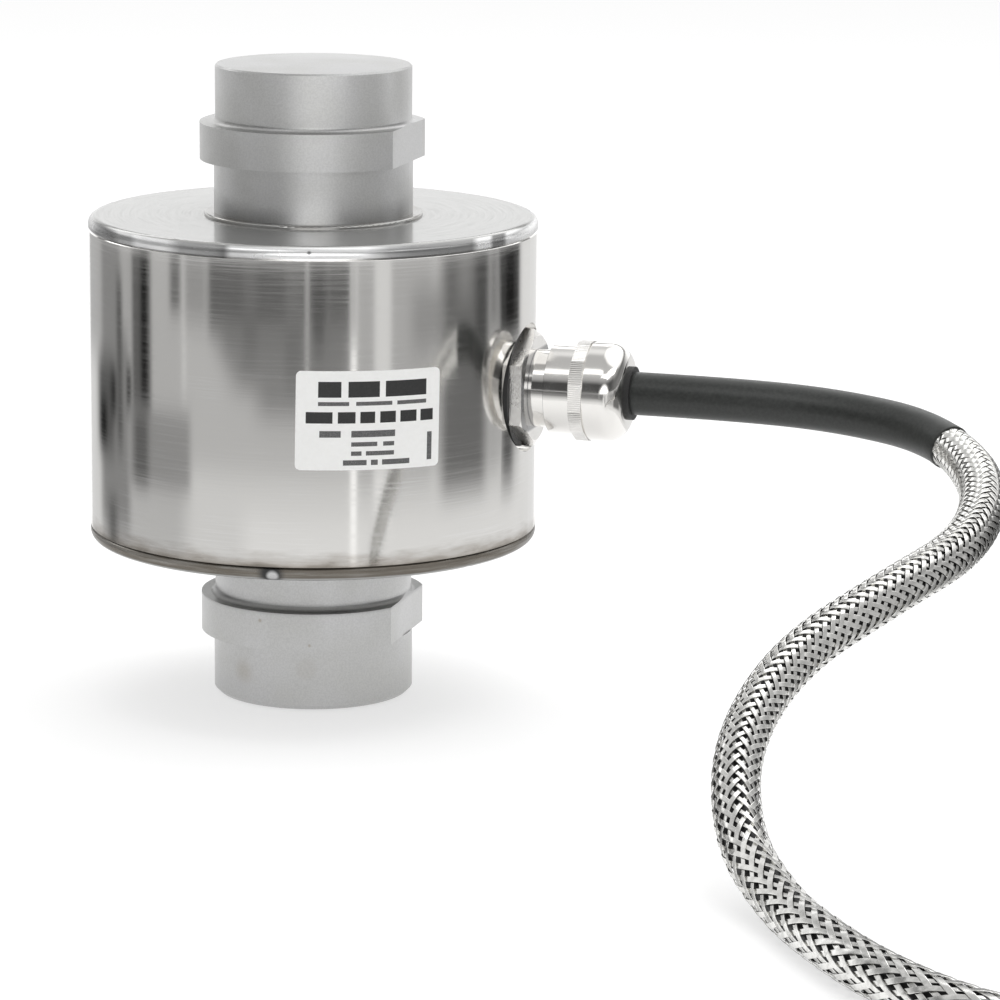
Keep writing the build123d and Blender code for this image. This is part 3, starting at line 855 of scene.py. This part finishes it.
# The braid grips the cable under the sleeve and loosens past it
GRIP_AT = (BRAID_START, BRAID_START + 16.0)
GRIP_R = (4.42, 4.85)
SCALE = np.arange(0.0, LENGTH + 1.0, 1.0)
TURNS = np.concatenate([[0.0], np.cumsum(1.0 / np.interp(SCALE[:-1] + 0.5, LAY_AT, LAY_LENGTH))])


def ribbon_section(wires):
    """Places across a ribbon, as shares of its width, and how far each stands up."""
    if not wires:
        return np.array([-0.5, 0.5]), np.zeros(2)
    across = np.linspace(-0.5, 0.5, 2 * wires + 1)
    return across, np.where(np.arange(len(across)) % 2, WIRE_RISE, 0.0)


def braid_strands(name, start, end, side, per_crossing, wires):
    """The ribbons of one hand of the braid, over two and under two of the other hand."""
    first, last = np.interp((start, end), SCALE, TURNS)
    count = int((last - first) * 2 * CARRIERS * per_crossing) + 1
    turns = np.linspace(first, last, count)
    distance = np.interp(turns, TURNS, SCALE)
    lay = np.interp(distance, LAY_AT, LAY_LENGTH)
    radius = np.interp(distance, GRIP_AT, GRIP_R)
    width = np.interp(distance, RIBBON_AT, RIBBON_W)
    slope = 2 * pi * radius / lay
    along_share = 1 / np.sqrt(1 + slope**2)
    across, scallop = ribbon_section(wires)
    strand = np.arange(CARRIERS)[:, None]
    crossing = 2 * strand + side * 2 * CARRIERS * turns
    lift = side * WEAVE_RISE * np.clip(WEAVE_STRETCH * np.cos(pi / 2 * (crossing - 0.5)), -1, 1)
    turn = 2 * pi * (side * turns + strand / CARRIERS)
    # A step across the ribbon goes round the cable and a little along it
    round_step = across[None, None, :] * (width * along_share / radius)[None, :, None]
    along_step = across[None, None, :] * (width * slope * along_share)[None, :, None]
    angle = turn[:, :, None] + round_step
    here = np.broadcast_to(distance[None, :, None] - side * along_step, angle.shape)
    height = radius[None, :, None] + lift[:, :, None] + scallop[None, None, :]
    centre, normal, binormal = at_distance(here)
    outward = np.cos(angle)[..., None] * normal + np.sin(angle)[..., None] * binormal
    faces = []
    for index in range(CARRIERS):
        faces += strip_faces(index * count * len(across), count, len(across))
    mesh = make_mesh(name, centre + height[..., None] * outward, faces)
    put_on_cable(mesh, braid_steel)


for side, hand in ((1, "right"), (-1, "left")):
    braid_strands(f"braid_run_{hand}", BRAID_START, BRAID_BREAK, side, RUN_POINTS, WIRES)
    braid_strands(f"braid_coil_{hand}", BRAID_BREAK, BRAID_END, side, COIL_POINTS, 0)


# Label on the housing's wall

LABEL_ANGLE = -57.95
LABEL_Z = 74.87
LABEL_W = 33.9
LABEL_H = 22.6
LABEL_T = 0.12
LABEL_CORNER = 1.2
LABEL_TILT = -0.8
# Length of a facet along the label, and the points of a rounded corner
LABEL_STEP = 0.8
CORNER_POINTS = 7
INK_T = 0.01
# Plain bars in place of print: left, top, width and height from the label's upper left corner
DARK_BARS = (
    (5.0, 2.4, 5.2, 3.6), (11.8, 2.4, 7.2, 3.6), (20.4, 2.4, 10.0, 3.6),
    (2.3, 9.3, 6.0, 2.6), (9.5, 9.3, 4.0, 2.6), (14.6, 9.3, 3.4, 2.6),
    (19.2, 9.3, 3.7, 2.6), (24.0, 9.3, 4.0, 2.6), (29.0, 9.3, 3.2, 2.6),
)
GREY_BARS = (
    (5.0, 7.0, 7.0, 0.9), (13.6, 7.0, 8.4, 0.9), (23.2, 7.0, 7.2, 0.9),
    (5.4, 13.6, 4.8, 1.5), (12.6, 13.6, 10.2, 1.5),
    (12.6, 16.2, 6.0, 1.0), (20.0, 16.2, 2.6, 1.0),
    (12.6, 18.3, 2.4, 1.0), (16.0, 18.3, 6.6, 1.0),
    (10.8, 20.3, 5.4, 1.2), (17.2, 20.3, 1.6, 1.2), (19.8, 20.3, 6.6, 1.2),
    (30.8, 14.6, 1.2, 6.4),
)


def on_wall(across, up, lift):
    """A point of the label, from its middle, at a height above the housing's wall."""
    tilt = radians(LABEL_TILT)
    side = across * cos(tilt) - up * sin(tilt)
    rise = across * sin(tilt) + up * cos(tilt)
    angle = LABEL_ANGLE + degrees(side / HOUSING_R)
    return polar(HOUSING_R + lift, angle, LABEL_Z + rise)


def curved_plate(left, right, top, low, corner, base, lift):
    """Points and faces of a thin plate on the wall, with rounded corners."""
    places = np.linspace(left, right, max(int((right - left) / LABEL_STEP), 1) + 1)
    if corner:
        turns = corner * (1 - np.cos(np.linspace(0, pi / 2, CORNER_POINTS)))
        places = np.unique(np.concatenate([places, left + turns, right - turns]).round(4))
    points = []
    for across in places:
        inset = min(across - left, right - across, corner)
        cut = corner - sqrt(max(corner**2 - (corner - inset) ** 2, 0.0))
        for height in (base, lift):
            points += [on_wall(across, top - cut, height), on_wall(across, low + cut, height)]
    faces = []
    for index in range(len(places) - 1):
        a, b = 4 * index, 4 * index + 4
        faces += [(a + 2, a + 3, b + 3, b + 2), (a, a + 2, b + 2, b), (a + 3, a + 1, b + 1, b + 3)]
    last = 4 * (len(places) - 1)
    faces += [(0, 1, 3, 2), (last, last + 2, last + 3, last + 1)]
    return points, faces


def bars_mesh(name, bars):
    """The bars of one tone as one mesh, just above the label."""
    points = []
    faces = []
    for left, top, width, height in bars:
        x = left - LABEL_W / 2
        y = LABEL_H / 2 - top
        new_points, new_faces = curved_plate(x, x + width, y, y - height, 0, LABEL_T, LABEL_T + INK_T)
        faces += [tuple(index + len(points) for index in face) for face in new_faces]
        points += new_points
    return make_mesh(name, points, faces, soft=False)


half_w, half_h = LABEL_W / 2, LABEL_H / 2
label_points, label_faces = curved_plate(-half_w, half_w, half_h, -half_h, LABEL_CORNER, 0.0, LABEL_T)
put(make_mesh("label", label_points, label_faces, soft=False), label_paper())
put(bars_mesh("label_bars_dark", DARK_BARS), ink("ink_dark", 0.018))
put(bars_mesh("label_bars_grey", GREY_BARS), ink("ink_grey", 0.09))


# Studio

WORLD_LIGHT = 0.8
# Floor and lamp have their places and sizes in metres
FLOOR_HALF = 4.0
FLOOR_Z = -0.00005
FLOOR_TONE = 0.8
FLOOR_SHOWN = 0.48
# What the lamp adds to the floor where it shows
LAMP_ADDS = 0.06
LAMP_AT = (0.1, 0.33, 1.1)
LAMP_AIM = (0.0, 0.0, 0.08)
LAMP_SIZE = 1.2
LAMP_POWER = 9.0


def bare_material(name):
    """A material without nodes, and its graph."""
    material = bpy.data.materials.new(name)
    material.use_nodes = True
    material.node_tree.nodes.clear()
    return material, Graph(material.node_tree)


def hang_glowing(mesh, material, graph, color, strength):
    """A sheet that glows with a colour and is seen in mirrors only."""
    glow = graph.node("Emission", {"Color": color, "Strength": strength}).outputs[0]
    graph.node("OutputMaterial", {"Surface": glow})
    sheet = link_object(mesh, material)
    for kind in ("camera", "diffuse", "transmission", "shadow"):
        setattr(sheet, "visible_" + kind, False)
    return sheet


def white_floor():
    """White paper that keeps the shadow, and looks white where nothing shades it."""
    bpy.ops.mesh.primitive_plane_add(size=2 * FLOOR_HALF, location=(0, 0, FLOOR_Z))
    floor = bpy.context.object
    floor.name = "paper"
    material, graph = bare_material("paper")
    path = graph.node("LightPath").outputs
    mirrored = graph.math("MAXIMUM", path["Is Glossy Ray"], path["Is Transmission Ray"])
    seen = graph.math("MAXIMUM", path["Is Camera Ray"], mirrored)
    lit = graph.node("BsdfDiffuse", {"Color": opaque(FLOOR_TONE)}).outputs[0]
    faint = graph.node("BsdfDiffuse", {"Color": opaque(FLOOR_SHOWN)}).outputs[0]
    missing = 1.0 - FLOOR_SHOWN * WORLD_LIGHT - LAMP_ADDS
    glow = graph.node("Emission", {"Color": opaque(1.0), "Strength": missing}).outputs[0]
    shown = graph.node("AddShader", {0: faint, 1: glow}).outputs[0]
    both = graph.node("MixShader", {0: seen, 1: lit, 2: shown}).outputs[0]
    graph.node("OutputMaterial", {"Surface": both})
    floor.data.materials.append(material)


# Tones of the room that polished metal mirrors, at sines of the height above the horizon
FRONT_ROOM = (
    (0.0, 0.9), (0.03, 0.55), (0.12, 0.08), (0.42, 0.07), (0.55, 0.42), (0.70, 0.6), (1.0, 0.55),
)
BACK_ROOM = (
    (0.0, 1.3), (0.1, 1.4), (0.25, 1.3), (0.29, 0.25), (0.37, 0.25), (0.42, 2.5), (0.52, 2.5),
    (0.6, 0.8), (0.8, 0.65), (1.0, 0.55),
)
# The room's colours are tones divided by this, since a colour stays under one
BRIGHTEST = 3.0
# Where the front room begins and is full, as sines of the angle towards the camera
FRONT_EDGE = (0.05, 0.55)
# A pale screen behind the camera, which lights the middle of the column
SCREEN_TONE = 2.4
SCREEN_EDGE = (0.87, 0.96)
# A strip lamp at the upper left, between two heights and from the middle leftwards
STRIP_TONE = 2.4
STRIP_HEIGHT = (0.75, 0.86)
STRIP_EDGE = (-0.25, -0.1)
# A wide lamp overhead, by its place to the right, ahead and above
OVERHEAD_TONE = 1.35
OVERHEAD = Vector((0.45, -0.3, 0.84)).normalized()
OVERHEAD_EDGE = (0.79, 0.87)
# Dark sides of the room, which fade out towards its top
SIDE_TONE = 0.18
SIDE_SHADE = 0.95
SIDE_EDGE = (0.55, 0.9)
SIDE_FADE = (0.5, 0.75)


def studio_world():
    """Even light on matt surfaces, and a room with a dark side for metal to mirror."""
    world = bpy.data.worlds.new("room")
    bpy.context.scene.world = world
    world.use_nodes = True
    graph = Graph(world.node_tree)
    graph.tree.nodes.clear()
    direction = graph.node("TexCoord").outputs["Generated"]
    height = graph.split(direction)["Z"]
    forward = Vector(polar(1.0, FRONT, 0.0))
    rightward = Vector(polar(1.0, FRONT + 90, 0.0))
    lamp_way = OVERHEAD.x * rightward + OVERHEAD.y * forward + Vector((0, 0, OVERHEAD.z))
    ahead, right, overhead = (
        graph.node("VectorMath", {0: direction, 1: way}, operation="DOT_PRODUCT").outputs["Value"]
        for way in (forward, rightward, lamp_way)
    )
    in_front = graph.ease(ahead, *FRONT_EDGE)
    front, back = (
        graph.ramp(height, [(at, grey(tone / BRIGHTEST)) for at, tone in tones])
        for tones in (FRONT_ROOM, BACK_ROOM)
    )
    room = graph.blend(in_front, back, front)
    aside = graph.ease(graph.math("ABSOLUTE", right), *SIDE_EDGE)
    aside = graph.times(aside, graph.ease(height, *SIDE_FADE, SIDE_SHADE, 0.0))
    strip = graph.times(graph.band(height, *STRIP_HEIGHT, 0.03), graph.ease(right, *STRIP_EDGE, 1.0, 0.0))
    for share, tone in (
        (aside, SIDE_TONE),
        (graph.ease(ahead, *SCREEN_EDGE), SCREEN_TONE),
        (graph.times(strip, in_front), STRIP_TONE),
        (graph.ease(overhead, *OVERHEAD_EDGE), OVERHEAD_TONE),
    ):
        room = graph.blend(share, room, grey(tone / BRIGHTEST))
    mirrored, even, white = (
        graph.node("Background", {"Color": color, "Strength": strength}).outputs[0]
        for color, strength in ((room, BRIGHTEST), (opaque(1.0), WORLD_LIGHT), (opaque(1.0), 1.0))
    )
    path = graph.node("LightPath").outputs
    lighting = graph.node("MixShader", {0: path["Is Glossy Ray"], 1: even, 2: mirrored}).outputs[0]
    shown = graph.node("MixShader", {0: path["Is Camera Ray"], 1: lighting, 2: white}).outputs[0]
    graph.node("OutputWorld", {"Surface": shown})


def soft_lamp():
    """A square lamp overhead that looks at the column's middle and isn't mirrored."""
    data = bpy.data.lights.new("overhead", "AREA")
    data.size = LAMP_SIZE
    data.energy = LAMP_POWER
    lamp = link_object(data)
    lamp.location = Vector(LAMP_AT)
    towards = Vector(LAMP_AIM) - lamp.location
    lamp.rotation_euler = towards.to_track_quat("-Z", "Y").to_euler()
    lamp.visible_glossy = False


# Half the sheet's width as a sine, its heights, how far off it stands and its grid of points
CARD_SIDE = 0.985
CARD_LOW = 39.0
CARD_TOP = 114.5
CARD_R = 200.0
CARD_GRID = (421, 101)
# Cards that the housing's wall mirrors, from back to front, in the terms of card_tone
CARDS = (
    (-1.0, 1.0, 120, 30, 0.60, 0.01, 4),
    (-0.55, 1.0, 62, 30, 0.80, 0.05, 5),
    (-0.30, 1.0, 53, 30, 0.93, 0.06, 5),
    (-1.0, -0.93, 120, 30, 0.78, 0.015, 4),
    (-1.0, -0.93, 120, 84, 0.52, 0.015, 8),
    (-0.93, -0.80, 120, 44, 0.30, 0.02, 6),
    (-0.84, -0.795, 120, 91, 0.50, 0.015, 6),
    (-0.855, -0.83, 104, 64, 0.13, 0.01, 6),
    (-0.945, -0.87, 84, 62, 0.12, 0.02, 6),
    (-0.885, -0.86, 82, 71, 0.03, 0.012, 4),
    (-0.935, -0.905, 74, 64, 0.012, 0.012, 4),
    (-0.90, -0.86, 52, 40, 0.15, 0.02, 4),
    (-0.69, -0.55, 120, 76, 0.56, 0.02, 3),
    (-0.785, -0.70, 120, 72, 0.14, 0.012, 4),
    (-0.812, -0.79, 84, 73, 0.06, 0.008, 4),
    (-0.745, -0.715, 120, 76, 0.012, 0.012, 3),
    (-0.565, -0.545, 120, 78, 0.72, 0.01, 4),
    (-0.615, -0.57, 120, 98, 0.18, 0.015, 3),
    (-0.55, -0.46, 120, 96, 0.37, 0.02, 6),
    (-0.80, -0.53, 75, 57, 0.34, 0.02, 3),
    (-0.78, -0.715, 74, 57, 0.14, 0.02, 4),
    (-0.45, 0.16, 120, 94, 0.15, 0.02, 5),
    (-0.40, 0.16, 96, 88, 0.22, 0.05, 5),
    (-0.35, 0.16, 91, 82, 0.25, 0.06, 5),
    (-0.24, 0.16, 85, 76, 0.28, 0.06, 5),
    (-0.30, -0.24, 120, 90, 0.19, 0.02, 8),
    (-0.12, -0.05, 120, 84, 0.21, 0.02, 8),
    (0.0, 0.045, 120, 92, 0.11, 0.012, 8),
    (-0.036, -0.018, 120, 72, 0.50, 0.006, 6),
    (0.06, 0.07, 120, 90, 0.22, 0.005, 6),
    (0.19, 0.26, 120, 62, 0.52, 0.02, 8),
    (0.26, 0.335, 120, 62, 0.84, 0.015, 8),
    (0.26, 0.335, 62, 50, 1.1, 0.02, 6),
    (0.335, 0.50, 120, 62, 0.52, 0.02, 8),
    (0.42, 0.56, 104, 90, 0.36, 0.04, 5),
    (0.158, 0.184, 120, 34, 1.3, 0.007, 4),
    (0.158, 0.184, 120, 92, 0.6, 0.007, 5),
    (0.55, 0.75, 120, 57, 0.18, 0.035, 6),
    (0.62, 0.68, 120, 100, 0.28, 0.03, 5),
    (0.70, 0.755, 120, 82, 0.095, 0.02, 6),
    (0.765, 0.795, 120, 92, 0.27, 0.01, 5),
    (0.765, 0.80, 88, 60, 0.5, 0.015, 6),
    (0.80, 0.90, 120, 90, 0.06, 0.012, 4),
    (0.835, 0.875, 120, 92, 0.014, 0.01, 4),
    (0.82, 0.875, 88, 56, 0.12, 0.02, 8),
    (0.905, 1.0, 120, 30, 0.90, 0.012, 4),
    (-0.93, 1.0, 120, 111.6, 0.75, 0.02, 0.4),
)


def window(value, low, high, soft):
    """1 between low and high and 0 outside, with soft edges."""
    return smooth(low - soft, low + soft, value) * (1 - smooth(high - soft, high + soft, value))


def card_tone(side, height):
    """The tone of the painted cards at places on the wall.

    A card has its left and right edges as sines of the angle from the column's front, its top and low
    edges as heights on the wall, its tone, and the softness of its upright and of its level edges.
    """
    tone = np.zeros(np.broadcast(side, height).shape)
    for left, right, top, low, value, soft_x, soft_z in CARDS:
        mask = window(side, left, right, soft_x) * window(height, low, top, soft_z)
        tone = tone * (1 - mask) + value * mask
    return tone


def mirror_cards():
    """An upright sheet round the cell, seen in mirrors only, where the wall mirrors each place."""
    rows, columns = CARD_GRID
    side = np.linspace(-CARD_SIDE, CARD_SIDE, rows)
    side, height = np.meshgrid(side, np.linspace(CARD_LOW, CARD_TOP, columns), indexing="ij")
    angle = radians(FRONT) + np.arcsin(side)
    normal = np.stack([np.cos(angle), np.sin(angle), np.zeros_like(angle)], -1)
    wall = HOUSING_R * normal + np.stack([0 * height, 0 * height, height], -1)
    view = unit(wall - np.array(CAMERA_AT))
    mirrored = view - 2 * dot(view, normal) * normal
    # How far each mirrored ray goes until it meets the sheet
    spread = dot(mirrored[..., :2], mirrored[..., :2])
    outward = dot(wall[..., :2], mirrored[..., :2])
    reach = (np.sqrt(outward**2 - spread * (HOUSING_R**2 - CARD_R**2)) - outward) / spread
    mesh = make_mesh("mirror_cards", wall + reach * mirrored, strip_faces(0, rows, columns))
    shade = mesh.attributes.new("tone", "FLOAT", "POINT")
    shade.data.foreach_set("value", card_tone(side, height).astype(np.float32).ravel())
    material, graph = bare_material("mirror_cards")
    tone = graph.node("Attribute", attribute_name="tone").outputs["Fac"]
    cards = hang_glowing(mesh, material, graph, tone, strength=1.0)


# The strip over the braid: its stretch of the cord, the turn of the mirroring side and how far off it is
STRIP_ALONG = (112.0, 196.0)
STRIP_TURN = (25.0, 40.0)
STRIP_REACH = 130.0
STRIP_GRID = (25, 5)
BRAID_LIGHT = 2.3


def braid_highlight():
    """A bright strip, seen in mirrors only, where the braid's upper side mirrors it."""
    rows, columns = STRIP_GRID
    centre, normal, binormal = at_distance(np.linspace(*STRIP_ALONG, rows))
    tangent = np.cross(normal, binormal)
    view = unit(np.array(CAMERA_AT) - centre)
    near = unit(view - dot(view, tangent) * tangent)
    over = np.cross(tangent, near)
    over *= np.sign(over[:, 2:])
    lines = []
    for turn in np.radians(np.linspace(*STRIP_TURN, columns)):
        out = cos(turn) * near + sin(turn) * over
        lines.append(centre + STRIP_REACH * (2 * dot(view, out) * out - view))
    mesh = make_mesh("braid_highlight", np.stack(lines, 1), strip_faces(0, rows, columns))
    material, graph = bare_material("braid_highlight")
    strip = hang_glowing(mesh, material, graph, opaque(1.0), BRAID_LIGHT)


make_camera()
studio_world()
white_floor()
mirror_cards()
braid_highlight()
soft_lamp()
bpy.context.scene.view_settings.view_transform = "Standard"
